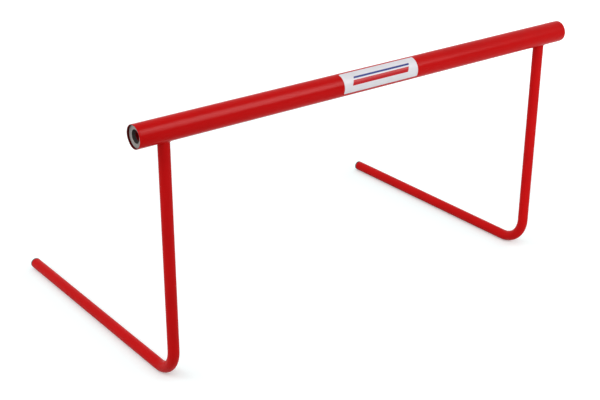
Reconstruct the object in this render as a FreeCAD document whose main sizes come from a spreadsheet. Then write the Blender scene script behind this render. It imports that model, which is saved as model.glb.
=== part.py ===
"""Speed hurdle: a welded tube frame whose crossbar wears a padded foam sleeve.

Two legs, each one bent tube with an upright and a foot, are welded under a core tube.
A foam sleeve with a red cover, slit along its underside, is pushed down over the core.

Axes: +X along the crossbar, +Y from the uprights towards the ends of the feet, +Z up.
Origin: on the floor, below the middle of the hurdle. Lengths in millimetres, angles in degrees.
"""
import FreeCAD, Part
import enum
import math
import os

import Sketcher

# Driving dimensions, and the one that follows from others: alias, value, meaning.
SIZES = (
    ("total_height", "501", "floor to the top of the padded bar"),
    ("bar_length", "1000", "cover of the padded bar, end to end"),
    ("bar_diameter", "42", "outside of the cover"),
    ("cover_wall", "0.8", "thickness of the cover"),
    ("cover_bond", "0.1", "glue line between foam and cover"),
    ("foam_setback", "4", "end of the cover to the end of the foam"),
    ("slit_width", "0.8", "slit along the underside of the sleeve"),
    ("core_diameter", "22", "outside of the core tube"),
    ("core_wall", "1.5", "wall of the core tube"),
    ("core_setback", "10.5", "end of the cover to the end of the core tube"),
    ("core_clearance", "0.5", "core tube to the bore of the foam, on the radius"),
    ("leg_diameter", "21.3", "outside of the leg tubes"),
    ("leg_wall", "1.5", "wall of the leg tubes"),
    ("leg_inset", "55", "end of the cover to the axis of an upright"),
    ("leg_span", "=bar_length - 2 * leg_inset", "between the axes of the uprights"),
    ("foot_reach", "555", "axis of an upright to the end of its foot"),
    ("bend_radius", "55", "centreline of the bend between upright and foot"),
    ("leg_clearance", "0.4", "leg to its opening in the cover, on the radius"),
    ("weld_throat", "2.5", "how far a weld stands out from the leg and the core"),
    ("weld_clearance", "0.5", "weld to its opening in the foam, on the radius"),
    ("plug_head", "4.5", "thickness of a foot plug's head"),
    ("plug_edge", "1.8", "rounding around a foot plug's head"),
    ("plug_shank", "16", "length of a foot plug inside the tube"),
    ("plug_wall", "1.8", "wall of a foot plug's shank"),
    ("plug_fit", "0.1", "ribs of a foot plug to the tube's bore, on the radius"),
    ("rib_height", "1.2", "how far a rib stands out from the shank"),
    ("rib_width", "1.4", "thickness of a rib"),
    ("rib_pitch", "4.2", "distance from one rib to the next"),
    ("rib_count", "3", "ribs on a foot plug"),
    ("label_length", "175", "label along the bar"),
    ("label_arc", "115", "label around the bar"),
    ("label_drop", "31", "lower edge of the label, below the bar's front line"),
    ("label_shift", "5", "middle of the label from the middle of the bar"),
    ("label_thickness", "0.2", "thickness of the label"),
    ("label_bond", "0.1", "glue line between cover and label"),
)

BAR_AXIS_Z = "(sizes.total_height - sizes.bar_diameter / 2)"
UPRIGHT_Y = "((sizes.bar_diameter / 2 - sizes.foot_reach) / 2)"
FOOT_TUBE_REACH = "(sizes.foot_reach - sizes.plug_head)"
LEG_RADIUS = "(sizes.leg_diameter / 2)"
LEG_BORE = "(sizes.leg_diameter / 2 - sizes.leg_wall)"
CORE_RADIUS = "(sizes.core_diameter / 2)"
CORE_BORE = "(sizes.core_diameter / 2 - sizes.core_wall)"
BAR_RADIUS = "(sizes.bar_diameter / 2)"
LABEL_SEAT = "(sizes.bar_diameter / 2 + sizes.label_bond)"
COVER_BORE = "(sizes.bar_diameter / 2 - sizes.cover_wall)"
FOAM_RADIUS = "(sizes.bar_diameter / 2 - sizes.cover_wall - sizes.cover_bond)"
FOAM_BORE = "(sizes.core_diameter / 2 + sizes.core_clearance)"
COVER_OPENING = "(sizes.leg_diameter / 2 + sizes.leg_clearance)"
FOAM_OPENING = "(sizes.leg_diameter / 2 + sizes.weld_throat + sizes.weld_clearance)"
RIB_RADIUS = "(sizes.leg_diameter / 2 - sizes.leg_wall - sizes.plug_fit)"
SHANK_RADIUS = "(sizes.leg_diameter / 2 - sizes.leg_wall - sizes.plug_fit - sizes.rib_height)"

SIDES = (("left", "-sizes.leg_span / 2"), ("right", "sizes.leg_span / 2"))

X_AXIS = FreeCAD.Vector(1, 0, 0)
Z_AXIS = FreeCAD.Vector(0, 0, 1)


class Curve(enum.IntEnum):
    """The curves that every sketch has, as Sketcher numbers them; its origin is the start of H_AXIS."""

    H_AXIS = -1
    V_AXIS = -2


class Point(enum.IntEnum):
    """The points of a sketch's curve, as Sketcher numbers them."""

    START = 1
    END = 2
    CENTRE = 3


def make_sheet(doc):
    """The sheet that holds every driving dimension under its alias."""
    sheet = doc.addObject("Spreadsheet::Sheet", "sizes")
    for row, (alias, value, meaning) in enumerate(SIZES, start=1):
        sheet.set(f"A{row}", alias)
        sheet.set(f"B{row}", value)
        sheet.set(f"C{row}", meaning)
        sheet.setAlias(f"B{row}", alias)
    doc.recompute()
    return sheet


def place(item, label, x="0", y=UPRIGHT_Y, z=BAR_AXIS_Z):
    """Names a sub-part and ties its place to the sheet."""
    item.Label = label
    item.setExpression("Placement.Base.x", x)
    item.setExpression("Placement.Base.y", y)
    item.setExpression("Placement.Base.z", z)


def add_sketch(body, name, role):
    """An empty sketch on one of the body's own origin planes."""
    sketch = body.newObject("Sketcher::SketchObject", name)
    plane = next(item for item in body.Origin.OriginFeatures if item.Role == role)
    sketch.AttachmentSupport = (plane, [""])
    sketch.MapMode = "FlatFace"
    return sketch


def dimension(sketch, expression, kind, *where):
    """A dimension of the sketch that follows an expression."""
    start = sketch.evalExpression(expression)
    index = sketch.addConstraint(Sketcher.Constraint(kind, *where, float(start)))
    sketch.setExpression(f"Constraints[{index}]", expression)


def add_circle(sketch, radius, across=None, up=None):
    """A circle at the sketch's origin, or along one of its axes by an expression that may be negative."""
    shift = sketch.evalExpression(across or up or "0")
    centre = FreeCAD.Vector(shift if across else 0, shift if up else 0, 0)
    size = float(sketch.evalExpression(radius))
    circle = sketch.addGeometry(Part.Circle(centre, Z_AXIS, size))
    if across:
        sketch.addConstraint(Sketcher.Constraint("PointOnObject", circle, Point.CENTRE, Curve.H_AXIS))
        dimension(sketch, across, "DistanceX", Curve.H_AXIS, Point.START, circle, Point.CENTRE)
    elif up:
        sketch.addConstraint(Sketcher.Constraint("PointOnObject", circle, Point.CENTRE, Curve.V_AXIS))
        dimension(sketch, up, "DistanceY", Curve.H_AXIS, Point.START, circle, Point.CENTRE)
    else:
        at_origin = (circle, Point.CENTRE, Curve.H_AXIS, Point.START)
        sketch.addConstraint(Sketcher.Constraint("Coincident", *at_origin))
    dimension(sketch, radius, "Radius", circle)


def add_rectangle(sketch, left, low, right, high):
    """A rectangle whose corner coordinates follow expressions."""
    low_left = FreeCAD.Vector(sketch.evalExpression(left), sketch.evalExpression(low), 0)
    high_right = FreeCAD.Vector(sketch.evalExpression(right), sketch.evalExpression(high), 0)
    low_right = FreeCAD.Vector(high_right.x, low_left.y, 0)
    high_left = FreeCAD.Vector(low_left.x, high_right.y, 0)
    corners = (low_left, low_right, high_right, high_left)
    lines = []
    for begin, end in zip(corners, corners[1:] + corners[:1]):
        lines.append(sketch.addGeometry(Part.LineSegment(begin, end)))
    for line, following in zip(lines, lines[1:] + lines[:1]):
        sketch.addConstraint(Sketcher.Constraint("Coincident", line, Point.END, following, Point.START))
    bottom, right_side, top, left_side = lines
    for line in (bottom, top):
        sketch.addConstraint(Sketcher.Constraint("Horizontal", line))
    for line in (right_side, left_side):
        sketch.addConstraint(Sketcher.Constraint("Vertical", line))
    dimension(sketch, left, "DistanceX", Curve.H_AXIS, Point.START, bottom, Point.START)
    dimension(sketch, low, "DistanceY", Curve.H_AXIS, Point.START, bottom, Point.START)
    dimension(sketch, right, "DistanceX", Curve.H_AXIS, Point.START, top, Point.START)
    dimension(sketch, high, "DistanceY", Curve.H_AXIS, Point.START, top, Point.START)


def add_prism(body, kind, sketch, length, reverse=False, both_ways=False):
    """A Pad or a Pocket of a sketch, over a length that follows an expression."""
    feature = body.newObject(f"PartDesign::{kind}", f"{sketch.Name}_{kind.lower()}")
    feature.Profile = sketch
    feature.SideType = "Symmetric" if both_ways else "One side"
    feature.Reversed = reverse
    feature.setExpression("Length", length)
    return feature


def add_tube(body, name, radius, bore, length):
    """A straight tube along X, centred on the body's origin."""
    section = add_sketch(body, f"{name}_section", "YZ_Plane")
    add_circle(section, radius)
    add_circle(section, bore)
    return add_prism(body, "Pad", section, length, both_ways=True)


def make_core(doc):
    """The steel tube inside the padded bar, open at both ends."""
    body = doc.addObject("PartDesign::Body", "crossbar_core")
    add_tube(body, "core", CORE_RADIUS, CORE_BORE, "sizes.bar_length - 2 * sizes.core_setback")
    place(body, "crossbar_core")
    return body


def make_leg(doc, side, x):
    """One bent tube: the upright, the bend and the foot, with its top cut to saddle the core tube."""
    body = doc.addObject("PartDesign::Body", f"{side}_leg")
    add_leg_sweep(doc, body, side)
    saddle = add_sketch(body, f"{side}_saddle", "YZ_Plane")
    add_circle(saddle, CORE_RADIUS, up=BAR_AXIS_Z)
    add_prism(body, "Pocket", saddle, "2 * sizes.leg_diameter", both_ways=True)
    place(body, f"{side}_leg", x, z="0")
    return body


def add_leg_sweep(doc, body, side):
    """Sweeps the tube's section from the axis of the bar down the upright and along the foot."""
    path = add_sketch(body, f"{side}_path", "YZ_Plane")
    radius = path.evalExpression(LEG_RADIUS)
    bend = path.evalExpression("sizes.bend_radius")
    top = FreeCAD.Vector(0, path.evalExpression(BAR_AXIS_Z), 0)
    heel = FreeCAD.Vector(0, radius + bend, 0)
    ball = FreeCAD.Vector(bend, radius, 0)
    toe = FreeCAD.Vector(path.evalExpression(FOOT_TUBE_REACH), radius, 0)
    turn = Part.Circle(FreeCAD.Vector(bend, radius + bend, 0), Z_AXIS, bend)
    upright = path.addGeometry(Part.LineSegment(top, heel))
    arc = path.addGeometry(Part.ArcOfCircle(turn, math.radians(180), math.radians(270)))
    foot = path.addGeometry(Part.LineSegment(ball, toe))
    path.addConstraint(Sketcher.Constraint("Vertical", upright))
    path.addConstraint(Sketcher.Constraint("PointOnObject", upright, Point.START, Curve.V_AXIS))
    path.addConstraint(Sketcher.Constraint("Tangent", upright, Point.END, arc, Point.START))
    path.addConstraint(Sketcher.Constraint("Tangent", arc, Point.END, foot, Point.START))
    path.addConstraint(Sketcher.Constraint("Horizontal", foot))
    dimension(path, "sizes.bend_radius", "Radius", arc)
    dimension(path, BAR_AXIS_Z, "DistanceY", Curve.H_AXIS, Point.START, upright, Point.START)
    dimension(path, LEG_RADIUS, "DistanceY", Curve.H_AXIS, Point.START, foot, Point.END)
    dimension(path, FOOT_TUBE_REACH, "DistanceX", Curve.H_AXIS, Point.START, foot, Point.END)
    section = add_sketch(body, f"{side}_section", "XY_Plane")
    section.setExpression("AttachmentOffset.Base.z", BAR_AXIS_Z)
    add_circle(section, LEG_RADIUS)
    add_circle(section, LEG_BORE)
    doc.recompute()
    sweep = body.newObject("PartDesign::AdditivePipe", f"{side}_sweep")
    sweep.Profile = section
    sweep.Spine = (path, [""])


def make_weld(doc, side, x):
    """The weld around the top of a leg: the space close to both the leg and the core tube."""
    saddle_rise = f"sqrt(max(0; {CORE_RADIUS} ^ 2 - {LEG_RADIUS} ^ 2))"
    collar_low = f"({CORE_RADIUS} + sizes.weld_throat)"
    collar_height = f"{collar_low} - {saddle_rise} + sizes.weld_throat / 2"
    sleeve_half = f"({LEG_RADIUS} + 2 * sizes.weld_throat)"
    around_leg = add_ring(doc, f"{side}_weld_leg", LEG_RADIUS, collar_height)
    around_leg.setExpression("Placement.Base.z", f"-{collar_low}")
    around_core = add_ring(doc, f"{side}_weld_core", CORE_RADIUS, f"2 * {sleeve_half}")
    around_core.Placement.Rotation = FreeCAD.Rotation(Z_AXIS, X_AXIS)
    around_core.setExpression("Placement.Base.x", f"-{sleeve_half}")
    weld = doc.addObject("Part::Common", f"{side}_weld")
    weld.Base = around_leg
    weld.Tool = around_core
    place(weld, f"{side}_weld", x)
    return weld


def add_ring(doc, name, radius, height):
    """A ring of weld metal on a tube of the given radius, along Z from the origin."""
    outside = doc.addObject("Part::Cylinder", f"{name}_outside")
    outside.setExpression("Radius", f"{radius} + sizes.weld_throat")
    outside.setExpression("Height", height)
    inside = doc.addObject("Part::Cylinder", f"{name}_inside")
    inside.setExpression("Radius", radius)
    inside.setExpression("Height", height)
    ring = doc.addObject("Part::Cut", name)
    ring.Base = outside
    ring.Tool = inside
    return ring


def add_sleeve_cuts(body, name, opening):
    """Slits the sleeve along its underside and opens it around the two legs."""
    slit = add_sketch(body, f"{name}_slit", "XY_Plane")
    half_width = "sizes.slit_width / 2"
    add_rectangle(slit, "-sizes.bar_length", f"-{half_width}", "sizes.bar_length", half_width)
    add_prism(body, "Pocket", slit, "sizes.bar_diameter")
    openings = add_sketch(body, f"{name}_openings", "XY_Plane")
    for _, x in SIDES:
        add_circle(openings, opening, across=x)
    add_prism(body, "Pocket", openings, "sizes.bar_diameter")


def make_foam(doc):
    """The grey foam tube around the core, set back from the ends of its cover."""
    body = doc.addObject("PartDesign::Body", "foam_sleeve")
    add_tube(body, "foam", FOAM_RADIUS, FOAM_BORE, "sizes.bar_length - 2 * sizes.foam_setback")
    add_sleeve_cuts(body, "foam", FOAM_OPENING)
    place(body, "foam_sleeve")
    return body


def make_cover(doc):
    """The thin red cover around the foam, which stands past the foam at both ends."""
    body = doc.addObject("PartDesign::Body", "sleeve_cover")
    add_tube(body, "cover", BAR_RADIUS, COVER_BORE, "sizes.bar_length")
    add_sleeve_cuts(body, "cover", COVER_OPENING)
    place(body, "sleeve_cover")
    return body


def make_label(doc):
    """The bare label, wrapped around the front of the cover."""
    body = doc.addObject("PartDesign::Body", "bar_label")
    strip = add_sketch(body, "label_strip", "XY_Plane")
    half_length = "sizes.label_length / 2"
    outside = f"-{LABEL_SEAT} - sizes.label_thickness"
    add_rectangle(strip, f"-{half_length}", outside, half_length, f"-{LABEL_SEAT}")
    wrap = body.newObject("PartDesign::Revolution", "label_wrap")
    wrap.Profile = strip
    wrap.ReferenceAxis = (strip, ["H_Axis"])
    wrap.Reversed = True
    wrap.setExpression("Angle", "sizes.label_arc")
    place(body, "bar_label", "sizes.label_shift")
    body.Placement.Rotation = FreeCAD.Rotation(X_AXIS, 0)
    body.setExpression("Placement.Rotation.Angle", "sizes.label_drop")
    return body


def make_plug(doc, side, x):
    """The ribbed plug in the open end of a foot, with its head flush with the tube."""
    body = doc.addObject("PartDesign::Body", f"{side}_foot_plug")
    head = add_sketch(body, f"{side}_head", "XZ_Plane")
    add_circle(head, LEG_RADIUS)
    add_prism(body, "Pad", head, "sizes.plug_head", reverse=True)
    shank = add_sketch(body, f"{side}_shank", "XZ_Plane")
    add_circle(shank, SHANK_RADIUS)
    add_prism(body, "Pad", shank, "sizes.plug_shank")
    rib = add_sketch(body, f"{side}_rib", "XZ_Plane")
    rib.setExpression("AttachmentOffset.Base.z", "sizes.rib_pitch - sizes.rib_width")
    add_circle(rib, RIB_RADIUS)
    first_rib = add_prism(body, "Pad", rib, "sizes.rib_width")
    doc.recompute()
    ribs = body.newObject("PartDesign::LinearPattern", f"{side}_ribs")
    ribs.Originals = [first_rib]
    ribs.Direction = (rib, ["N_Axis"])
    ribs.Mode = "Spacing"
    ribs.setExpression("Offset", "sizes.rib_pitch")
    ribs.setExpression("Occurrences", "sizes.rib_count")
    body.Tip = ribs
    hollow = add_sketch(body, f"{side}_hollow", "XZ_Plane")
    add_circle(hollow, f"({SHANK_RADIUS} - sizes.plug_wall)")
    hollowed = add_prism(body, "Pocket", hollow, "sizes.plug_shank", reverse=True)
    doc.recompute()
    add_head_rounding(body, side, hollowed)
    place(body, f"{side}_foot_plug", x, f"{UPRIGHT_Y} + {FOOT_TUBE_REACH}", LEG_RADIUS)
    return body


def add_head_rounding(body, side, base):
    """Rounds the outer edge of a plug's head."""
    far = max(edge.CenterOfMass.y for edge in base.Shape.Edges)
    names = []
    for number, edge in enumerate(base.Shape.Edges, start=1):
        if math.isclose(edge.CenterOfMass.y, far):
            names.append(f"Edge{number}")
    rounding = body.newObject("PartDesign::Fillet", f"{side}_edge")
    rounding.Base = (base, names)
    rounding.setExpression("Radius", "min(sizes.plug_edge; sizes.plug_head / 2)")


def check(doc, parts):
    """Stops if an object of the document failed, or a sub-part isn't a valid solid."""
    for item in doc.Objects:
        if {"Invalid", "Error"} & set(item.State):
            raise RuntimeError(f"{item.Name} failed: {item.State}")
    for part in parts:
        shape = part.Shape
        if shape.isNull() or not shape.isValid() or not shape.Solids:
            raise RuntimeError(f"{part.Label} is not a valid solid")


def main():
    """Builds every sub-part and writes each to its own file."""
    doc = FreeCAD.newDocument("speed_hurdle")
    make_sheet(doc)
    parts = [make_core(doc), make_foam(doc), make_cover(doc), make_label(doc)]
    for side, x in SIDES:
        parts += [make_leg(doc, side, x), make_weld(doc, side, x), make_plug(doc, side, x)]
    doc.recompute()
    check(doc, parts)
    os.makedirs("parts", exist_ok=True)
    for part in parts:
        part.Shape.exportStep(f"parts/{part.Label}.step")
        box = part.Shape.BoundBox
        print(f"{part.Label}: {part.Shape.Volume:.0f} mm3, {len(part.Shape.Solids)} solid,",
              f"x {box.XMin:.2f} {box.XMax:.2f}, y {box.YMin:.2f} {box.YMax:.2f},",
              f"z {box.ZMin:.2f} {box.ZMax:.2f}")


main()
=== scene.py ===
"""Speed hurdle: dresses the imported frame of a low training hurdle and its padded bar.

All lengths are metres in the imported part's own frame: +X along the crossbar, +Y from the
uprights to the ends of the feet, +Z up, with the floor at zero.
"""
import logging
import math
from dataclasses import dataclass, field, replace
from enum import Enum
from typing import Any, Callable, ClassVar, Union

import bpy
import numpy as np
from mathutils import Matrix, Vector


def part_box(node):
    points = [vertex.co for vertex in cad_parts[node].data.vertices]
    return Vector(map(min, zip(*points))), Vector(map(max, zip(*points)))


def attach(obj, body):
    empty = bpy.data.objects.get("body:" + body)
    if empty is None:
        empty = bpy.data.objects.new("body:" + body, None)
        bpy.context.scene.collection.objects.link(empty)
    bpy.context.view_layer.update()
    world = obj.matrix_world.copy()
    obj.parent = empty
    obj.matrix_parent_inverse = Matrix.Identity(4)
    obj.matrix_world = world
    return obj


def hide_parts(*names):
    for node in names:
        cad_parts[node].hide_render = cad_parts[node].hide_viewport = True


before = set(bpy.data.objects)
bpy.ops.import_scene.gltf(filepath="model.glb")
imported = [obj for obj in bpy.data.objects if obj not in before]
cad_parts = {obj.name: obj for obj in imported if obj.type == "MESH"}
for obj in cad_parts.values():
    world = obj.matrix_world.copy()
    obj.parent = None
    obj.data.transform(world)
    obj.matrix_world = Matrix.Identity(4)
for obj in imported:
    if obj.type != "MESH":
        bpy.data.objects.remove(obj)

LOG = logging.getLogger("speed_hurdle")
ROOT_BODY = "root"
# The attribute that tells a wrapped piece's own places: along the bar, around it, and in its wall.
STRIP = "strip_place"
SEED = 11
OPAQUE = 1.0

Colour = tuple[float, float, float]
Place = tuple[float, float, float]
Span = tuple[float, float]
Socket = bpy.types.NodeSocket
Feed = Union[Socket, float, tuple[float, ...]]


class Slot(Enum):
    """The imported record's material slots of the pieces that are made here."""

    FOAM_GREY = "foam_grey"
    COVER_RED = "cover_red"
    LABEL_WHITE = "label_white"


class Side(Enum):
    """The two legs, by the sign of their place along the bar."""

    LEFT = -1
    RIGHT = 1

    def node(self, piece: str) -> str:
        """The name of this side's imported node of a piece."""
        return f"{self.name.lower()}_{piece}"


class Shine(Enum):
    """What a lamp does: it lights surfaces, or it only shows in their gloss."""

    LIGHT = "light"
    GLOSS = "gloss"


class Wire(Enum):
    """The kinds of socket that a shared effect has."""

    VECTOR = "NodeSocketVector"
    VALUE = "NodeSocketFloat"
    COLOUR = "NodeSocketColor"


class Bench:
    """Sets nodes into one node tree and wires them up."""

    # A colour mix has several sockets of each name, so its colours go by number.
    MIX_COLOURS: ClassVar[tuple[int, int]] = (6, 7)
    MIX_RESULT: ClassVar[int] = 2

    def __init__(self, tree: bpy.types.NodeTree) -> None:
        """Takes the tree that the nodes go into."""
        self.tree = tree

    def add(self, kind: str, feeds: dict[Union[str, int], Feed] | None = None,
            **settings: Any) -> bpy.types.Node:
        """Adds a node.

        Args:
            kind: The node's type name in Blender.
            feeds: What goes into its inputs: a socket is linked, and anything else is set.
            settings: The node's own properties.

        Returns:
            The new node.
        """
        node = self.tree.nodes.new(kind)
        for name, value in settings.items():
            setattr(node, name, value)
        for name, value in (feeds or {}).items():
            self.feed(node.inputs[name], value)
        return node

    def feed(self, entry: Socket, value: Feed) -> None:
        """Links a socket to an input, or sets the input to a value."""
        if isinstance(value, Socket):
            self.tree.links.new(value, entry)
        else:
            entry.default_value = value

    def calc(self, operation: str, *values: Feed) -> Socket:
        """The result of a Math node over one to three values."""
        return self.add("ShaderNodeMath", dict(enumerate(values)), operation=operation).outputs[0]

    def vector(self, operation: str, *values: Feed) -> Socket:
        """The vector that a Vector Math node gives."""
        return self.add("ShaderNodeVectorMath", dict(enumerate(values)), operation=operation).outputs[0]

    def part_of(self, vector: Socket, letter: str) -> Socket:
        """One of a vector's parts, by its letter."""
        return self.add("ShaderNodeSeparateXYZ", {"Vector": vector}).outputs[letter]

    def strip(self) -> Socket:
        """A wrapped piece's own places."""
        return self.add("ShaderNodeAttribute", attribute_name=STRIP).outputs["Vector"]

    def noise(self, where: Feed, scale: Feed, detail: float = 2.0, rough: float = 0.5) -> Socket:
        """A noise value at a place."""
        feeds = {"Vector": where, "Scale": scale, "Detail": detail, "Roughness": rough}
        return self.add("ShaderNodeTexNoise", feeds).outputs["Fac"]

    def cells(self, where: Feed, scale: Feed) -> Socket:
        """The distance from the nearest of many scattered points."""
        return self.add("ShaderNodeTexVoronoi", {"Vector": where, "Scale": scale}).outputs["Distance"]

    def ramp(self, value: Feed, start: Feed, end: Feed, low: Feed = 0.0, high: Feed = 1.0) -> Socket:
        """Maps a value from one range to another with soft ends.

        Args:
            value: What is mapped.
            start: The value that gives low.
            end: The value that gives high.
            low: The result at start.
            high: The result at end.

        Returns:
            The mapped value.
        """
        feeds = {"Value": value, "From Min": start, "From Max": end, "To Min": low, "To Max": high}
        return self.add("ShaderNodeMapRange", feeds, interpolation_type="SMOOTHSTEP").outputs["Result"]

    def blend(self, share: Feed, first: Feed, second: Feed) -> Socket:
        """Mixes two colours by a share.

        Args:
            share: 0 gives the first colour and 1 the second.
            first: A colour, or the socket of one.
            second: A colour, or the socket of one.

        Returns:
            The mixed colour.
        """
        node = self.add("ShaderNodeMix", {0: share}, data_type="RGBA")
        for index, colour in zip(self.MIX_COLOURS, (first, second)):
            self.feed(node.inputs[index], colour if isinstance(colour, Socket) else (*colour, OPAQUE))
        return node.outputs[self.MIX_RESULT]


class SharedEffect:
    """A node group that is built once and placed in several materials."""

    title: ClassVar[str]
    takes: ClassVar[tuple[tuple[str, Wire], ...]]
    gives: ClassVar[tuple[tuple[str, Wire], ...]]

    def tree(self) -> bpy.types.NodeTree:
        """The group's tree, built when it is first asked for."""
        known = bpy.data.node_groups.get(self.title)
        if known:
            return known
        tree = bpy.data.node_groups.new(self.title, "ShaderNodeTree")
        for name, wire in self.takes:
            tree.interface.new_socket(name, in_out="INPUT", socket_type=wire.value)
        for name, wire in self.gives:
            tree.interface.new_socket(name, in_out="OUTPUT", socket_type=wire.value)
        bench = Bench(tree)
        entry = bench.add("NodeGroupInput").outputs
        leave = bench.add("NodeGroupOutput")
        for (name, _), result in zip(self.gives, self.wire(bench, entry)):
            tree.links.new(result, leave.inputs[name])
        return tree

    def wire(self, bench: Bench, entry: Any) -> tuple[Socket, ...]:
        """Lays the effect's nodes.

        Args:
            bench: Where the nodes go.
            entry: The group's inputs, by name.

        Returns:
            One socket for each output, in the order of gives.
        """
        raise NotImplementedError

    def place(self, bench: Bench, **feeds: Feed) -> Socket:
        """Places the effect in a material.

        Args:
            bench: The material's bench.
            feeds: What goes into its inputs, by their names in lower case.

        Returns:
            The effect's first output.
        """
        named = {name.title(): value for name, value in feeds.items()}
        return bench.add("ShaderNodeGroup", named, node_tree=self.tree()).outputs[0]


class SurfaceGrain(SharedEffect):
    """The fine relief of a coated or moulded surface."""

    title = "surface grain"
    takes = (("Where", Wire.VECTOR), ("Scale", Wire.VALUE))
    gives = (("Height", Wire.VALUE),)

    FINER: ClassVar[float] = 3.3
    FINE_SHARE: ClassVar[float] = 0.35

    def wire(self, bench: Bench, entry: Any) -> tuple[Socket, ...]:
        """A broad relief with a finer one on it."""
        broad = bench.noise(entry["Where"], entry["Scale"])
        finer = bench.noise(entry["Where"], bench.calc("MULTIPLY", entry["Scale"], self.FINER))
        return (bench.calc("MULTIPLY_ADD", finer, self.FINE_SHARE, broad),)


class MottledTint(SharedEffect):
    """A colour that drifts a little towards another, in soft clouds."""

    title = "mottled tint"
    takes = (("Where", Wire.VECTOR), ("Scale", Wire.VALUE), ("Base", Wire.COLOUR), ("Shade", Wire.COLOUR))
    gives = (("Tint", Wire.COLOUR),)

    CLOUD: ClassVar[Span] = (0.32, 0.72)
    DETAIL: ClassVar[float] = 4.0
    ROUGH: ClassVar[float] = 0.62

    def wire(self, bench: Bench, entry: Any) -> tuple[Socket, ...]:
        """Clouds of the shade over the base."""
        drift = bench.noise(entry["Where"], entry["Scale"], self.DETAIL, self.ROUGH)
        return (bench.blend(bench.ramp(drift, *self.CLOUD), entry["Base"], entry["Shade"]),)


class HandlingMarks(SharedEffect):
    """Rubs and fine scratches from carrying and stacking, in loose patches."""

    title = "handling marks"
    takes = (("Where", Wire.VECTOR), ("Scale", Wire.VALUE), ("Amount", Wire.VALUE))
    gives = (("Mark", Wire.VALUE),)

    STRETCH: ClassVar[Place] = (1.0, 9.0, 1.6)
    TURN: ClassVar[Place] = (0.4, 0.9, 0.2)
    LINE: ClassVar[Span] = (0.60, 0.74)
    LINE_DETAIL: ClassVar[float] = 3.0
    LINE_ROUGH: ClassVar[float] = 0.55
    PATCH: ClassVar[Span] = (0.50, 0.72)
    PATCH_SCALE: ClassVar[float] = 0.12

    def wire(self, bench: Bench, entry: Any) -> tuple[Socket, ...]:
        """Stretched lines that show only inside soft patches."""
        feeds = {"Vector": entry["Where"], "Rotation": self.TURN, "Scale": self.STRETCH}
        turned = bench.add("ShaderNodeMapping", feeds).outputs["Vector"]
        scratch = bench.noise(turned, entry["Scale"], self.LINE_DETAIL, self.LINE_ROUGH)
        wide = bench.calc("MULTIPLY", entry["Scale"], self.PATCH_SCALE)
        patch = bench.ramp(bench.noise(entry["Where"], wide), *self.PATCH)
        both = bench.calc("MULTIPLY", bench.ramp(scratch, *self.LINE), patch)
        return (bench.calc("MULTIPLY", both, entry["Amount"]),)


class SettledDust(SharedEffect):
    """Fine pale dust on what faces up."""

    title = "settled dust"
    takes = (("Where", Wire.VECTOR), ("Scale", Wire.VALUE), ("Amount", Wire.VALUE))
    gives = (("Dust", Wire.VALUE),)

    FACING: ClassVar[Span] = (0.55, 1.0)
    CLOUD: ClassVar[Span] = (0.38, 0.70)
    DETAIL: ClassVar[float] = 5.0
    ROUGH: ClassVar[float] = 0.6

    def wire(self, bench: Bench, entry: Any) -> tuple[Socket, ...]:
        """Clouds of dust, held by how far a surface faces up."""
        up = bench.part_of(bench.add("ShaderNodeNewGeometry").outputs["Normal"], "Z")
        drift = bench.noise(entry["Where"], entry["Scale"], self.DETAIL, self.ROUGH)
        held = bench.calc("MULTIPLY", bench.ramp(up, *self.FACING), bench.ramp(drift, *self.CLOUD))
        return (bench.calc("MULTIPLY", held, entry["Amount"]),)


GRAIN, TINT, MARKS, DUST = SurfaceGrain(), MottledTint(), HandlingMarks(), SettledDust()


@dataclass(frozen=True)
class Finish:
    """What every finish has: its colours, how rough it is and how much it mirrors.

    Noise scales are in cells per metre, and a relief is its height in metres.
    """

    name: str
    colour: Colour
    shade: Colour
    smooth: float
    rough: float
    mirror: float
    relief: float
    cloud_scale: float = 40.0

    def material(self) -> bpy.types.Material:
        """The finish as a material, made when it is first asked for."""
        known = bpy.data.materials.get(self.name)
        if known:
            return known
        material = bpy.data.materials.new(self.name)
        material.use_nodes = True
        material.node_tree.nodes.clear()
        bench = Bench(material.node_tree)
        surface = bench.add("ShaderNodeBsdfPrincipled", {"Specular IOR Level": self.mirror})
        bench.add("ShaderNodeOutputMaterial", {"Surface": surface.outputs["BSDF"]})
        self.paint(bench, surface, bench.add("ShaderNodeTexCoord").outputs["Object"])
        return material

    def paint(self, bench: Bench, surface: bpy.types.Node, where: Socket) -> None:
        """Wires the finish's own colour, roughness and relief.

        Args:
            bench: The material's bench.
            surface: Its Principled BSDF.
            where: The place on the object, in metres.
        """
        raise NotImplementedError

    def clouded(self, bench: Bench, where: Socket) -> Socket:
        """The finish's colour, with soft clouds of its shade."""
        base, shade = (*self.colour, OPAQUE), (*self.shade, OPAQUE)
        return TINT.place(bench, where=where, scale=self.cloud_scale, base=base, shade=shade)

    def finish_surface(self, bench: Bench, surface: bpy.types.Node, colour: Socket, wear: Socket,
                       height: Socket) -> None:
        """Joins a colour, a wear mask and a relief to the surface.

        Args:
            bench: The material's bench.
            surface: Its Principled BSDF.
            colour: The colour.
            wear: 0 where the surface is smooth and 1 where it is rubbed rough.
            height: The relief, from 0 to about 1.
        """
        bench.feed(surface.inputs["Base Color"], colour)
        bench.feed(surface.inputs["Roughness"], bench.ramp(wear, 0.0, 1.0, self.smooth, self.rough))
        bump = bench.add("ShaderNodeBump", {"Strength": 1.0, "Distance": self.relief, "Height": height})
        bench.feed(surface.inputs["Normal"], bump.outputs["Normal"])


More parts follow.
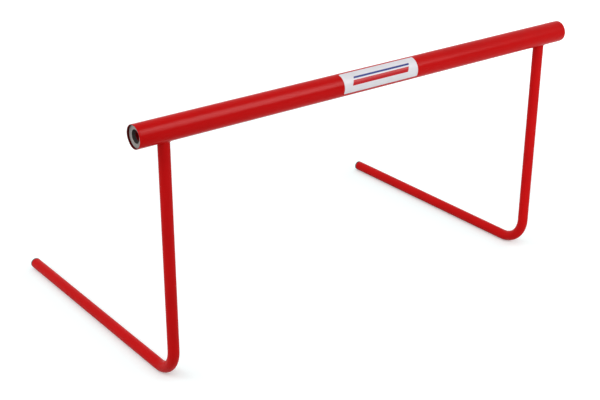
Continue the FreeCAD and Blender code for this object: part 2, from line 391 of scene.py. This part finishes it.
@dataclass(frozen=True)
class PowderCoat(Finish):
    """Red powder coat on the tubes, with orange peel and rubs where the feet meet the floor."""

    cloud_scale: float = 16.0
    peel_scale: float = 620.0
    mark_scale: float = 170.0
    mark_amount: float = 0.5
    dust_scale: float = 48.0
    dust_amount: float = 0.008
    dust_colour: Colour = (0.62, 0.30, 0.26)
    rub_colour: Colour = (0.20, 0.045, 0.040)
    rub_height: float = 0.0022
    rub_scale: float = 210.0
    rub_detail: float = 4.0
    rub_patch: Span = (0.35, 0.6)

    def paint(self, bench: Bench, surface: bpy.types.Node, where: Socket) -> None:
        """Orange peel, soft clouds, dust on top and rubs below."""
        dust = DUST.place(bench, where=where, scale=self.dust_scale, amount=self.dust_amount)
        marks = MARKS.place(bench, where=where, scale=self.mark_scale, amount=self.mark_amount)
        grounded = bench.ramp(bench.part_of(where, "Z"), self.rub_height, 0.0)
        patch = bench.ramp(bench.noise(where, self.rub_scale, self.rub_detail), *self.rub_patch)
        rubbed = bench.calc("MULTIPLY", grounded, patch)
        dusted = bench.blend(dust, self.clouded(bench, where), self.dust_colour)
        colour = bench.blend(rubbed, dusted, self.rub_colour)
        peel = GRAIN.place(bench, where=where, scale=self.peel_scale)
        self.finish_surface(bench, surface, colour, bench.calc("MAXIMUM", marks, rubbed), peel)


@dataclass(frozen=True)
class CoverFilm(Finish):
    """The smooth red film on the bar, with faint lines along it from its making."""

    cloud_scale: float = 9.0
    line_pitch: float = 750.0
    line_run: float = 4.0
    line_detail: float = 3.0
    line_rough: float = 0.6
    line_share: float = 0.22
    dent_scale: float = 55.0
    mark_scale: float = 120.0
    mark_amount: float = 0.45
    dust_scale: float = 40.0
    dust_amount: float = 0.006
    dust_colour: Colour = (0.62, 0.30, 0.26)
    # Painted shade: the inside wall, seen at the bar's ends under the overhanging rim, is darkened.
    inside_shade_colour: Colour = (0.085, 0.0030, 0.0040)
    inside_shade_depth: Span = (0.0004, 0.0001)

    def paint(self, bench: Bench, surface: bpy.types.Node, where: Socket) -> None:
        """Lines along the bar, soft dents, clouds and a trace of dust, with painted shade on the inside
        wall.
        """
        strip = bench.strip()
        # The inside wall is painted dark as painted shade.
        inside_shade = bench.ramp(bench.part_of(strip, "Z"), *self.inside_shade_depth)
        along = bench.vector("MULTIPLY", strip, (self.line_run, self.line_pitch, 0.0))
        lines = bench.noise(along, 1.0, self.line_detail, self.line_rough)
        dents = GRAIN.place(bench, where=where, scale=self.dent_scale)
        dust = DUST.place(bench, where=where, scale=self.dust_scale, amount=self.dust_amount)
        marks = MARKS.place(bench, where=where, scale=self.mark_scale, amount=self.mark_amount)
        height = bench.calc("MULTIPLY_ADD", lines, self.line_share, dents)
        outside = bench.blend(dust, self.clouded(bench, where), self.dust_colour)
        colour = bench.blend(inside_shade, outside, self.inside_shade_colour)
        self.finish_surface(bench, surface, colour, marks, height)


@dataclass(frozen=True)
class CellFoam(Finish):
    """Cut grey foam with open cells of about a millimetre."""

    cloud_scale: float = 60.0
    cell_scale: float = 780.0
    pore_scale: float = 2100.0
    pore_share: float = 0.4
    # Painted shade for the hollows of the cells.
    pore_shade_colour: Colour = (0.045, 0.043, 0.042)
    hollow_height: Span = (0.55, 0.18)
    hollow_shade_amount: float = 0.7
    # Painted shade for the bore wall, which lies in the dark inside the bar's end.
    bore_shade_colour: Colour = (0.060, 0.053, 0.050)
    bore_shade_radius: Span = (0.0124, 0.0116)

    def paint(self, bench: Bench, surface: bpy.types.Node, where: Socket) -> None:
        """Cells and pores, with painted shade in their hollows and on the bore wall."""
        # Painted shade: the bore wall is darkened.
        bore_shade = bench.ramp(bench.part_of(bench.strip(), "Z"), *self.bore_shade_radius)
        pores = bench.cells(where, self.pore_scale)
        height = bench.calc("MULTIPLY_ADD", pores, self.pore_share, bench.cells(where, self.cell_scale))
        # Painted shade: the hollows of the cells are darkened, and the same mask roughens them.
        hollow_shade = bench.calc("MULTIPLY", bench.ramp(height, *self.hollow_height), self.hollow_shade_amount)
        cut = bench.blend(hollow_shade, self.clouded(bench, where), self.pore_shade_colour)
        colour = bench.blend(bore_shade, cut, self.bore_shade_colour)
        self.finish_surface(bench, surface, colour, hollow_shade, height)


@dataclass(frozen=True)
class Stripe:
    """A plain printed stripe along a label."""

    colour: Colour
    middle: float
    half_width: float
    half_length: float


@dataclass(frozen=True)
class LabelFilm(Finish):
    """A white film label with two plain stripes."""

    cloud_scale: float = 34.0
    half_length: float = 0.0875
    half_width: float = 0.0214
    slant: float = 0.45
    print_edge: float = 0.00012
    stripes: tuple[Stripe, ...] = (
        Stripe((0.030, 0.045, 0.240), middle=0.0068, half_width=0.0019, half_length=0.066),
        Stripe((0.520, 0.008, 0.014), middle=-0.0026, half_width=0.0048, half_length=0.066),
    )
    ripple_scale: float = 95.0
    mark_scale: float = 150.0
    mark_amount: float = 0.6
    grime_reach: float = 0.0022
    grime_scale: float = 260.0
    grime_detail: float = 4.0
    grime_patch: Span = (0.4, 0.75)
    grime_amount: float = 0.35

    def paint(self, bench: Bench, surface: bpy.types.Node, where: Socket) -> None:
        """White film, printed stripes and a little grime towards the edges."""
        flat = bench.add("ShaderNodeSeparateXYZ", {"Vector": bench.strip()}).outputs
        colour = self.clouded(bench, where)
        for stripe in self.stripes:
            colour = bench.blend(self.printed(bench, flat, stripe), colour, stripe.colour)
        to_end = bench.calc("SUBTRACT", self.half_length, bench.calc("ABSOLUTE", flat["X"]))
        to_side = bench.calc("SUBTRACT", self.half_width, bench.calc("ABSOLUTE", flat["Y"]))
        near_edge = bench.ramp(bench.calc("MINIMUM", to_end, to_side), self.grime_reach, 0.0)
        patch = bench.ramp(bench.noise(where, self.grime_scale, self.grime_detail), *self.grime_patch)
        grime = bench.calc("MULTIPLY", near_edge, patch)
        soiled = bench.blend(bench.calc("MULTIPLY", grime, self.grime_amount), colour, self.shade)
        marks = MARKS.place(bench, where=where, scale=self.mark_scale, amount=self.mark_amount)
        ripple = GRAIN.place(bench, where=where, scale=self.ripple_scale)
        self.finish_surface(bench, surface, soiled, bench.calc("MAXIMUM", marks, grime), ripple)

    def printed(self, bench: Bench, flat: Any, stripe: Stripe) -> Socket:
        """Where a stripe with slanted ends is printed.

        Args:
            bench: The material's bench.
            flat: The place on the flat label from its middle, as X and Y.
            stripe: The stripe.

        Returns:
            1 on the stripe and 0 off it.
        """
        across = bench.calc("SUBTRACT", flat["Y"], stripe.middle)
        along = bench.calc("MULTIPLY_ADD", flat["Y"], -self.slant, flat["X"])
        sides = self.within(bench, across, stripe.half_width)
        return bench.calc("MULTIPLY", sides, self.within(bench, along, stripe.half_length))

    def within(self, bench: Bench, place: Socket, half: float) -> Socket:
        """1 where a place lies closer to zero than half a size, with the print's soft edge."""
        off = bench.calc("ABSOLUTE", place)
        return bench.ramp(off, half + self.print_edge, half - self.print_edge)


@dataclass(frozen=True)
class PlugPlastic(Finish):
    """Black moulded plastic with a fine eroded grain."""

    cloud_scale: float = 90.0
    grain_scale: float = 1500.0
    mark_scale: float = 260.0
    mark_amount: float = 0.8
    rub_colour: Colour = (0.11, 0.11, 0.11)
    rub_amount: float = 0.3

    def paint(self, bench: Bench, surface: bpy.types.Node, where: Socket) -> None:
        """Moulded grain, with pale rubs."""
        marks = MARKS.place(bench, where=where, scale=self.mark_scale, amount=self.mark_amount)
        rubs = bench.calc("MULTIPLY", marks, self.rub_amount)
        colour = bench.blend(rubs, self.clouded(bench, where), self.rub_colour)
        grain = GRAIN.place(bench, where=where, scale=self.grain_scale)
        self.finish_surface(bench, surface, colour, marks, grain)


POWDER_COAT = PowderCoat("powder coat", colour=(0.57, 0.0048, 0.0054), shade=(0.52, 0.0042, 0.0048),
                         smooth=0.42, rough=0.60, mirror=0.050, relief=0.00004)
# Painted shade: the core tube, seen only deep inside the bar's ends, gets a darker copy of the powder coat.
CORE_SHADE_PAINT = replace(POWDER_COAT, name="core tube shaded paint", colour=(0.20, 0.0040, 0.0060),
                     shade=(0.13, 0.0030, 0.0045))
COVER_FILM = CoverFilm("cover film", colour=(0.56, 0.0026, 0.0030), shade=(0.52, 0.0023, 0.0027),
                       smooth=0.28, rough=0.48, mirror=0.05, relief=0.00003)
CELL_FOAM = CellFoam("cell foam", colour=(0.46, 0.44, 0.42), shade=(0.32, 0.305, 0.29),
                     smooth=0.82, rough=0.95, mirror=0.20, relief=0.00035)
LABEL_FILM = LabelFilm("label film", colour=(0.780, 0.775, 0.815), shade=(0.730, 0.725, 0.760),
                       smooth=0.34, rough=0.58, mirror=0.14, relief=0.00003)
PLUG_PLASTIC = PlugPlastic("plug plastic", colour=(0.020, 0.020, 0.021), shade=(0.030, 0.030, 0.030),
                           smooth=0.42, rough=0.68, mirror=0.40, relief=0.00003)


class WrappedBlock:
    """A closed block that is laid out on a lattice along, around and through its wall."""

    Shape = Callable[[np.ndarray, np.ndarray, np.ndarray], tuple[np.ndarray, np.ndarray]]

    def __init__(self, along: np.ndarray, around: np.ndarray, through: np.ndarray) -> None:
        """Takes the lattice's steps along the piece, and from 0 to 1 around it and through its wall."""
        self.along, self.around, self.through = along, around, through

    def mesh(self, name: str, shape: "WrappedBlock.Shape") -> bpy.types.Object:
        """Makes the block's skin.

        Args:
            name: The piece's name.
            shape: Gives each lattice point's place, and its place on the unrolled strip.

        Returns:
            The piece, smooth shaded, with its strip places as an attribute.
        """
        counts = (len(self.along), len(self.around), len(self.through))
        steps = np.indices(counts).reshape(3, -1)
        last = np.array(counts)[:, None] - 1
        skin = ((steps == 0) | (steps == last)).any(axis=0)
        number = np.full(counts, -1)
        number.reshape(-1)[skin] = np.arange(skin.sum())
        i, j, k = steps[:, skin]
        places, strips = shape(self.along[i], self.around[j], self.through[k])
        mesh = bpy.data.meshes.new(name)
        mesh.from_pydata(places.tolist(), [], self.faces(number))
        mesh.polygons.foreach_set("use_smooth", np.ones(len(mesh.polygons), bool))
        strip = mesh.attributes.new(STRIP, "FLOAT_VECTOR", "POINT")
        strip.data.foreach_set("vector", strips.astype(np.float32).ravel())
        mesh.validate()
        piece = bpy.data.objects.new(name, mesh)
        bpy.context.scene.collection.objects.link(piece)
        return piece

    @staticmethod
    def faces(number: np.ndarray) -> list[list[int]]:
        """The quads of the lattice's six sides, all facing outwards.

        Args:
            number: Each lattice point's vertex number.

        Returns:
            The quads as lists of vertex numbers.
        """
        quads: list[np.ndarray] = []
        for axis in range(3):
            for end, flip in ((0, True), (-1, False)):
                sheet = np.take(number, end, axis=axis)
                if (axis == 1) != flip:
                    sheet = sheet.T
                corners = (sheet[:-1, :-1], sheet[:-1, 1:], sheet[1:, 1:], sheet[1:, :-1])
                quads.append(np.stack([corner.ravel() for corner in corners], axis=1))
        return np.concatenate(quads).tolist()


def round_edges(piece: bpy.types.Object, width: float, segments: int = 2, sharp_from: float = 50.0) -> None:
    """Rounds a piece's sharp edges.

    Args:
        piece: The piece.
        width: How wide the rounding is.
        segments: How many faces it has.
        sharp_from: The angle, in degrees, above which an edge is sharp.
    """
    bevel = piece.modifiers.new("rounded edges", "BEVEL")
    bevel.width = width
    bevel.segments = segments
    bevel.limit_method = "ANGLE"
    bevel.angle_limit = math.radians(sharp_from)
    bevel.harden_normals = True


def dress(piece: bpy.types.Object, finish: Finish) -> None:
    """Gives a piece its finish and reports it."""
    piece.data.materials.clear()
    piece.data.materials.append(finish.material())
    LOG.info("%s: %s", piece.name, finish.name)


def wander(*places: np.ndarray, waves: int = 9, pace: float = 2.2, seed: int = SEED) -> np.ndarray:
    """A smooth random swell from -1 to 1.

    Args:
        places: Coordinates, each already divided by the length over which the swell changes.
        waves: How many waves are added.
        pace: The most that a wave turns, in radians, over a coordinate's unit.
        seed: Picks the waves.

    Returns:
        The swell at each place.
    """
    draw = np.random.default_rng(seed)
    total = np.zeros_like(places[0])
    for _ in range(waves):
        turn = draw.uniform(0, 2 * math.pi)
        total += np.sin(sum(draw.uniform(-pace, pace) * place for place in places) + turn)
    return total / waves


def as_share(swing: np.ndarray) -> np.ndarray:
    """A swing from -1 to 1 as a share from 0 to 1."""
    return 0.5 + 0.5 * swing


def bell(distance: np.ndarray, reach: float) -> np.ndarray:
    """1 at no distance, falling softly to about a third at the reach."""
    return np.exp(-((distance / reach) ** 2))


@dataclass
class PaddedBar:
    """The foam sleeve on the core tube and the red cover on it, both slit along their underside."""

    STEP_DIGITS: ClassVar[int] = 7

    slit: float = 0.0008
    cover_wall: float = 0.0008
    cover_round: float = 0.00022
    leg_play: float = 0.0004
    weld_room: float = 0.0030
    lip_drop: float = 0.0011
    lip_reach: float = 0.0009
    pucker: float = 0.00022
    pucker_count: int = 9
    pucker_reach: float = 0.011
    swell: float = 0.00005
    swell_length: float = 0.07
    swell_turns: float = 7.0
    rim_reach: float = 0.0035
    rim_slack: float = 0.00025
    rim_dips: int = 2
    rim_waves: int = 3
    rim_wave_shift: float = 1.3
    foam_bore: float = 0.0115
    foam_gap: float = 0.0009
    foam_fray: float = 0.00022
    fray_length: float = 0.0011
    dent_count: int = 420
    dent_depth: float = 0.00045
    dent_radius: float = 0.0007
    dent_sizes: Span = (0.45, 1.0)
    end_steps: tuple[float, ...] = (0.0004, 0.001, 0.002, 0.0035)
    slit_crowding: float = 0.45
    cover_pitch: float = 0.006
    cover_arc: int = 40
    cover_outer: int = 17
    cover_rows: int = 128
    foam_pitch: float = 0.024
    foam_arc: int = 24
    foam_outer: int = 5
    foam_rows: int = 260
    foam_rings: int = 18
    axis: np.ndarray = field(init=False)
    half_length: float = field(init=False)
    foam_half_length: float = field(init=False)
    radius: float = field(init=False)
    leg_places: tuple[float, ...] = field(init=False)
    cover_opening: float = field(init=False)
    foam_opening: float = field(init=False)

    def __post_init__(self) -> None:
        """Takes the bar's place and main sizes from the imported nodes."""
        low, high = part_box("sleeve_cover")
        middle = (low + high) / 2
        self.axis = np.array((middle.y, middle.z))
        self.half_length = high.x
        self.radius = (high.y - low.y) / 2
        self.foam_half_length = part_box("foam_sleeve")[1].x
        legs = [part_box(side.node("leg")) for side in Side]
        self.leg_places = tuple((box[0].x + box[1].x) / 2 for box in legs)
        leg_radius = (legs[0][1].x - legs[0][0].x) / 2
        self.cover_opening = leg_radius + self.leg_play
        self.foam_opening = leg_radius + self.weld_room

    def opening(self, along: np.ndarray, reach: float) -> np.ndarray:
        """Half the width of the gap in the underside: the slit, or a leg's round opening.

        Args:
            along: Places along the bar.
            reach: The radius of a leg's opening.

        Returns:
            The half width at each place.
        """
        half = np.full_like(along, self.slit / 2)
        for leg in self.leg_places:
            inside = np.clip(reach**2 - (along - leg) ** 2, 0.0, None)
            half = np.maximum(half, np.sqrt(inside))
        return half

    def columns(self, half_length: float, reach: float, pitch: float, arc_steps: int,
                outer_steps: int) -> np.ndarray:
        """Steps along the bar, close together at the ends and around the legs' openings.

        Args:
            half_length: From the middle to the end.
            reach: The radius of a leg's opening.
            pitch: The step elsewhere.
            arc_steps: How many steps a leg's opening has.
            outer_steps: How many steps there are beside it, on each side.

        Returns:
            The steps, in order.
        """
        plain = np.linspace(-half_length, half_length, int(2 * half_length / pitch) + 1)
        turn = np.linspace(0.0, math.pi, arc_steps + 1)
        outer = reach + self.pucker_reach * np.linspace(0.0, 1.0, outer_steps + 1)[1:] ** 2
        ends = half_length - np.array(self.end_steps)
        steps = [ends, -ends]
        for leg in self.leg_places:
            plain = plain[np.abs(plain - leg) > reach + self.pucker_reach + pitch / 2]
            steps += [leg - outer, leg + reach * np.cos(turn), leg + outer]
        return np.unique(np.round(np.concatenate([plain, *steps]), self.STEP_DIGITS))

    def rows(self, count: int) -> np.ndarray:
        """Steps around the bar from slit to slit, closer together at the slit."""
        even = np.linspace(-1.0, 1.0, count)
        crowded = even * (1.0 + self.slit_crowding * (1.0 - even**2))
        return as_share(crowded).clip(0.0, 1.0)

    def wrap(self, along: np.ndarray, around: np.ndarray, radius: np.ndarray,
             reach: float) -> tuple[np.ndarray, np.ndarray]:
        """Lays lattice points around the bar's axis, from one side of the slit to the other.

        Args:
            along: Places along the bar.
            around: From 0 at the slit's one side to 1 at its other side.
            radius: Distances from the axis.
            reach: The radius of a leg's opening.

        Returns:
            The places, and the angles from straight down.
        """
        edge = np.arcsin(np.clip(self.opening(along, reach) / radius, 0.0, 1.0))
        angle = edge + around * (2 * math.pi - 2 * edge)
        across = self.axis[0] + radius * np.sin(angle)
        up = self.axis[1] - radius * np.cos(angle)
        return np.stack((along, across, up), axis=1), angle

    def cover_shape(self, along: np.ndarray, around: np.ndarray,
                    through: np.ndarray) -> tuple[np.ndarray, np.ndarray]:
        """The cover's places: a soft swell, slack rims, and a lip that turns down around each leg.

        Args:
            along: Places along the bar.
            around: From slit to slit.
            through: 0 on the inside and 1 on the outside.

        Returns:
            The places, and the places on the unrolled strip.
        """
        swell = self.swell * (wander(along / self.swell_length, around * self.swell_turns) - 1.0)
        to_end = (self.half_length - np.abs(along)) / self.rim_reach
        loose = self.rim_slack * np.clip(1.0 - to_end, 0.0, 1.0) ** 2
        end, ring = np.sign(along), 2 * math.pi * around
        radius = self.radius + swell - loose * as_share(np.cos(self.rim_dips * ring + end))
        inner = self.cover_wall * (1 - through)
        places, angle = self.wrap(along, around, radius - inner, self.cover_opening)
        places[:, 0] -= end * loose * as_share(np.sin(self.rim_waves * ring + self.rim_wave_shift * end))
        below = places[:, 2] < self.axis[1]
        for leg in self.leg_places:
            beside, off = along - leg, places[:, 1] - self.axis[0]
            gap = np.hypot(beside, off) - self.cover_opening
            lip = bell(np.clip(gap, 0.0, None), self.lip_reach)
            fade = np.clip(1.0 - gap / self.pucker_reach, 0.0, 1.0) ** 2
            fold = np.cos(self.pucker_count * np.arctan2(off, beside) + leg)
            places[:, 2] -= below * (self.lip_drop * lip + self.pucker * fade * fold)
        return places, np.stack((along, self.radius * angle, through * self.cover_wall), axis=1)

    def foam_shape(self, along: np.ndarray, around: np.ndarray,
                   through: np.ndarray) -> tuple[np.ndarray, np.ndarray]:
        """The foam's places: a plain sleeve whose cut ends are frayed and full of broken cells.

        Args:
            along: Places along the bar.
            around: From slit to slit.
            through: 0 at the bore and 1 on the outside.

        Returns:
            The places, and the places on the unrolled strip.
        """
        outside = self.radius - self.foam_gap
        radius = self.foam_bore + (outside - self.foam_bore) * through
        places, angle = self.wrap(along, around, radius, self.foam_opening)
        cut = np.isclose(np.abs(along), self.foam_half_length)
        places[cut, 0] -= np.sign(along[cut]) * self.cut_depth(places[cut, 1], places[cut, 2], outside)
        return places, np.stack((along, radius * angle, radius), axis=1)

    def cut_depth(self, across: np.ndarray, up: np.ndarray, outside: float) -> np.ndarray:
        """How deep a cut end lies: frayed all over, and deeper where a cell is broken.

        Args:
            across: Places along +Y.
            up: Places along +Z.
            outside: The foam's outer radius.

        Returns:
            The depth at each place.
        """
        depth = self.foam_fray * as_share(wander(across / self.fray_length, up / self.fray_length))
        draw = np.random.default_rng(SEED)
        spots = np.sqrt(draw.uniform(self.foam_bore**2, outside**2, self.dent_count))
        turns = draw.uniform(0, 2 * math.pi, self.dent_count)
        sizes = draw.uniform(*self.dent_sizes, self.dent_count)
        for spot, turn, size in zip(spots, turns, sizes):
            off = np.hypot(across - self.axis[0] - spot * math.sin(turn),
                           up - self.axis[1] + spot * math.cos(turn))
            depth = np.maximum(depth, self.dent_depth * size * bell(off, self.dent_radius * size))
        return depth

    def build(self) -> None:
        """Makes the cover and the foam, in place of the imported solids."""
        columns = self.columns(self.half_length, self.cover_opening, self.cover_pitch, self.cover_arc,
                               self.cover_outer)
        block = WrappedBlock(columns, self.rows(self.cover_rows), np.array((0.0, 1.0)))
        cover = block.mesh("padded_bar_cover", self.cover_shape)
        round_edges(cover, self.cover_round)
        columns = self.columns(self.foam_half_length, self.foam_opening, self.foam_pitch, self.foam_arc,
                               self.foam_outer)
        block = WrappedBlock(columns, self.rows(self.foam_rows), np.linspace(0.0, 1.0, self.foam_rings))
        foam = block.mesh("padded_bar_foam", self.foam_shape)
        self.hand_over(cover, "sleeve_cover", Slot.COVER_RED, COVER_FILM)
        self.hand_over(foam, "foam_sleeve", Slot.FOAM_GREY, CELL_FOAM)

    @staticmethod
    def hand_over(piece: bpy.types.Object, node: str, slot: Slot, finish: Finish) -> None:
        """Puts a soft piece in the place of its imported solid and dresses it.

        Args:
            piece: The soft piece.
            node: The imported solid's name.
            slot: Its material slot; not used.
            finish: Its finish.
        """
        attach(piece, ROOT_BODY)
        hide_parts(node)
        dress(piece, finish)


@dataclass
class BarLabel:
    """The white label wrapped around the front of the bar."""

    drop: float = math.radians(31)
    arc: float = math.radians(115)
    bond: float = 0.0001
    pressed_in: float = 0.00006
    thickness: float = 0.0002
    corner: float = 0.0016
    ripple: float = 0.00004
    ripple_waves: Span = (5.0, 2.5)
    ripple_edge: float = 0.004
    lift: float = 0.00006
    lift_waves: Span = (6.0, 4.0)
    lift_reach: float = 0.0022
    columns: int = 150
    rows: int = 56
    corner_rows: int = 9
    bar: PaddedBar = field(default_factory=PaddedBar)
    middle: float = field(init=False)
    half_length: float = field(init=False)
    half_width: float = field(init=False)

    def __post_init__(self) -> None:
        """Takes the label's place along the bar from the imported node."""
        low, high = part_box("bar_label")
        self.middle = (low.x + high.x) / 2
        self.half_length = (high.x - low.x) / 2
        self.half_width = self.arc * (self.bar.radius + self.bond + self.thickness) / 2

    def shape(self, along: np.ndarray, around: np.ndarray,
              through: np.ndarray) -> tuple[np.ndarray, np.ndarray]:
        """The label's places: rounded corners, a faint ripple and edges that lift a little.

        Args:
            along: From -1 to 1 along the label.
            around: From 0 at the lower edge to 1 at the upper edge.
            through: 0 on the glue and 1 on the face.

        Returns:
            The places, and the places on the flat label from its middle.
        """
        flat_up = self.half_width * (2 * around - 1)
        past = np.clip(np.abs(flat_up) - (self.half_width - self.corner), 0.0, self.corner)
        cut_back = self.corner - np.sqrt(self.corner**2 - past**2)
        flat_along = along * (self.half_length - cut_back)
        edge = np.minimum(self.half_length - np.abs(flat_along), self.half_width - np.abs(flat_up))
        lifting = wander(along * self.lift_waves[0], around * self.lift_waves[1])
        raised = self.lift * bell(edge, self.lift_reach) * as_share(lifting)
        rippling = wander(along * self.ripple_waves[0], around * self.ripple_waves[1], seed=SEED + 1)
        ripple = self.ripple * as_share(rippling) * np.clip(edge / self.ripple_edge, 0.0, 1.0)
        seat = self.bar.radius + self.bond - self.pressed_in
        radius = seat + self.thickness * through + raised + ripple
        angle = self.arc * around - self.drop
        across = self.bar.axis[0] - radius * np.cos(angle)
        up = self.bar.axis[1] + radius * np.sin(angle)
        places = np.stack((self.middle + flat_along, across, up), axis=1)
        return places, np.stack((flat_along, flat_up, through * self.thickness), axis=1)

    def build(self) -> None:
        """Makes the label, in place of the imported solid."""
        corner_rows = np.linspace(0.0, self.corner / (2 * self.half_width), self.corner_rows)
        rows = np.linspace(corner_rows[-1], 1 - corner_rows[-1], self.rows)[1:-1]
        rows = np.concatenate((corner_rows, rows, 1 - corner_rows[::-1]))
        block = WrappedBlock(np.linspace(-1.0, 1.0, self.columns), rows, np.array((0.0, 1.0)))
        label = block.mesh("front_label", self.shape)
        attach(label, ROOT_BODY)
        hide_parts("bar_label")
        dress(label, replace(LABEL_FILM, half_length=self.half_length, half_width=self.half_width))


@dataclass
class TubeFrame:
    """The welded frame: the legs, the core tube and their welds, as packed."""

    pieces: tuple[str, ...] = ("leg", "weld")

    def build(self) -> None:
        """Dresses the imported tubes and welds."""
        dress(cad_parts["crossbar_core"], CORE_SHADE_PAINT)
        for side in Side:
            for piece in self.pieces:
                dress(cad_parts[side.node(piece)], POWDER_COAT)


@dataclass
class FootPlugs:
    """The plastic plugs in the ends of the feet, as packed."""

    def build(self) -> None:
        """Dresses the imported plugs."""
        for side in Side:
            dress(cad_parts[side.node("foot_plug")], PLUG_PLASTIC)


@dataclass(frozen=True)
class Softbox:
    """A soft rectangular lamp that faces a point, with its power in watts."""

    name: str
    place: Place
    aim: Place
    width: float
    height: float
    power: float
    shine: Shine = Shine.LIGHT

    def build(self) -> None:
        """Hangs the lamp."""
        lamp = bpy.data.lights.new(self.name, "AREA")
        lamp.shape = "RECTANGLE"
        lamp.size, lamp.size_y = self.width, self.height
        lamp.energy = self.power
        hung = bpy.data.objects.new(self.name, lamp)
        hung.location = self.place
        towards = Vector(self.aim) - Vector(self.place)
        hung.rotation_euler = towards.to_track_quat("-Z", "Y").to_euler()
        hung.visible_camera = False
        hung.visible_diffuse = self.shine is Shine.LIGHT
        hung.visible_glossy = self.shine is Shine.GLOSS
        bpy.context.scene.collection.objects.link(hung)


@dataclass
class Studio:
    """The pale floor, the soft light around it and the lamps."""

    floor_half: float = 9.0
    floor_bounce: Colour = (0.50, 0.50, 0.50)
    floor_face: Colour = (0.91, 1.0, 1.0)
    near_glow: Colour = (0.17, 0.17, 0.17)
    far_glow: Colour = (0.50, 0.50, 0.50)
    glow_reach: Span = (0.7, 2.2)
    sky: float = 0.69
    backdrop: float = 1.0
    lamps: tuple[Softbox, ...] = (
        Softbox("front right softbox", (1.70, -2.58, 2.68), (-0.1, -0.27, 0.47), width=1.3, height=2.6,
                power=155.0, shine=Shine.GLOSS),
        Softbox("high left panel", (-3.80, -0.60, 4.15), (0.0, -0.20, 0.30), width=9.0, height=2.2,
                power=125.0),
        Softbox("low front panel", (0.36, -1.05, 0.22), (0.24, -0.27, 0.42), width=1.0, height=0.4,
                power=2.6),
        Softbox("right panel", (5.50, 0.60, 1.60), (0.0, -0.20, 0.25), width=3.0, height=2.0,
                power=60.0),
    )

    @staticmethod
    def seen_plainly(bench: Bench) -> Socket:
        """1 for rays from the camera, a mirror or glass, and 0 for the rest."""
        path = bench.add("ShaderNodeLightPath").outputs
        mirrored = bench.calc("MAXIMUM", path["Is Glossy Ray"], path["Is Transmission Ray"])
        return bench.calc("MAXIMUM", path["Is Camera Ray"], mirrored)

    def floor_material(self) -> bpy.types.Material:
        """Pale floor paint that looks white and keeps the shadows."""
        material = bpy.data.materials.new("studio floor")
        material.use_nodes = True
        material.node_tree.nodes.clear()
        bench = Bench(material.node_tree)
        bounce = bench.add("ShaderNodeBsdfDiffuse", {"Color": (*self.floor_bounce, OPAQUE)})
        face = bench.add("ShaderNodeBsdfDiffuse", {"Color": (*self.floor_face, OPAQUE)})
        where = bench.add("ShaderNodeTexCoord").outputs["Object"]
        away = bench.add("ShaderNodeVectorMath", {0: where}, operation="LENGTH").outputs["Value"]
        paler = bench.blend(bench.ramp(away, *self.glow_reach), self.near_glow, self.far_glow)
        glow = bench.add("ShaderNodeEmission", {"Color": paler, "Strength": 1.0})
        bright = bench.add("ShaderNodeAddShader", {0: face.outputs[0], 1: glow.outputs[0]})
        feeds = {0: self.seen_plainly(bench), 1: bounce.outputs[0], 2: bright.outputs[0]}
        mixed = bench.add("ShaderNodeMixShader", feeds)
        bench.add("ShaderNodeOutputMaterial", {"Surface": mixed.outputs[0]})
        return material

    def build(self) -> None:
        """Lays the floor, sets the world and hangs the lamps."""
        half = self.floor_half
        corners = [(-half, -half, 0.0), (half, -half, 0.0), (half, half, 0.0), (-half, half, 0.0)]
        mesh = bpy.data.meshes.new("floor")
        mesh.from_pydata(corners, [], [tuple(range(len(corners)))])
        mesh.materials.append(self.floor_material())
        floor = bpy.data.objects.new("floor", mesh)
        bpy.context.scene.collection.objects.link(floor)
        self.set_world()
        for lamp in self.lamps:
            lamp.build()

    def set_world(self) -> None:
        """Soft grey light all round, which looks white where it is seen."""
        world = bpy.data.worlds.new("studio")
        world.use_nodes = True
        world.node_tree.nodes.clear()
        bench = Bench(world.node_tree)
        white = (1.0, 1.0, 1.0, OPAQUE)
        soft = bench.add("ShaderNodeBackground", {"Color": white, "Strength": self.sky})
        seen = bench.add("ShaderNodeBackground", {"Color": white, "Strength": self.backdrop})
        feeds = {0: self.seen_plainly(bench), 1: soft.outputs[0], 2: seen.outputs[0]}
        mixed = bench.add("ShaderNodeMixShader", feeds)
        bench.add("ShaderNodeOutputWorld", {"Surface": mixed.outputs[0]})
        bpy.context.scene.world = world


@dataclass
class PhotoCamera:
    """The camera at the photograph's place, angle and focal length."""

    place: Place = (-1.35566, -1.81722, 1.16190)
    heading: float = math.radians(37.506)
    down: float = math.radians(24.300)
    roll: float = math.radians(0.181)
    lens_mm: float = 70.909
    sensor_mm: float = 36.0

    def build(self) -> None:
        """Sets the camera up and makes it the scene's."""
        data = bpy.data.cameras.new("photo camera")
        data.lens = self.lens_mm
        data.sensor_width = self.sensor_mm
        data.sensor_fit = "HORIZONTAL"
        camera = bpy.data.objects.new("photo camera", data)
        turn = Matrix.Rotation(-self.heading, 4, "Z")
        tilt = Matrix.Rotation(math.pi / 2 - self.down, 4, "X")
        roll = Matrix.Rotation(self.roll, 4, "Z")
        camera.matrix_world = Matrix.Translation(self.place) @ turn @ tilt @ roll
        bpy.context.scene.collection.objects.link(camera)
        bpy.context.scene.camera = camera


def main() -> None:
    """Builds the camera, the studio and every sub-assembly."""
    logging.basicConfig(level=logging.INFO, format="%(name)s: %(message)s")
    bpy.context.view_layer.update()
    bpy.context.scene.view_settings.view_transform = "Standard"
    for part in (PhotoCamera(), Studio(), TubeFrame(), PaddedBar(), BarLabel(), FootPlugs()):
        LOG.info("building %s", type(part).__name__)
        part.build()
    bpy.context.view_layer.update()


if __name__ == "__main__":
    main()
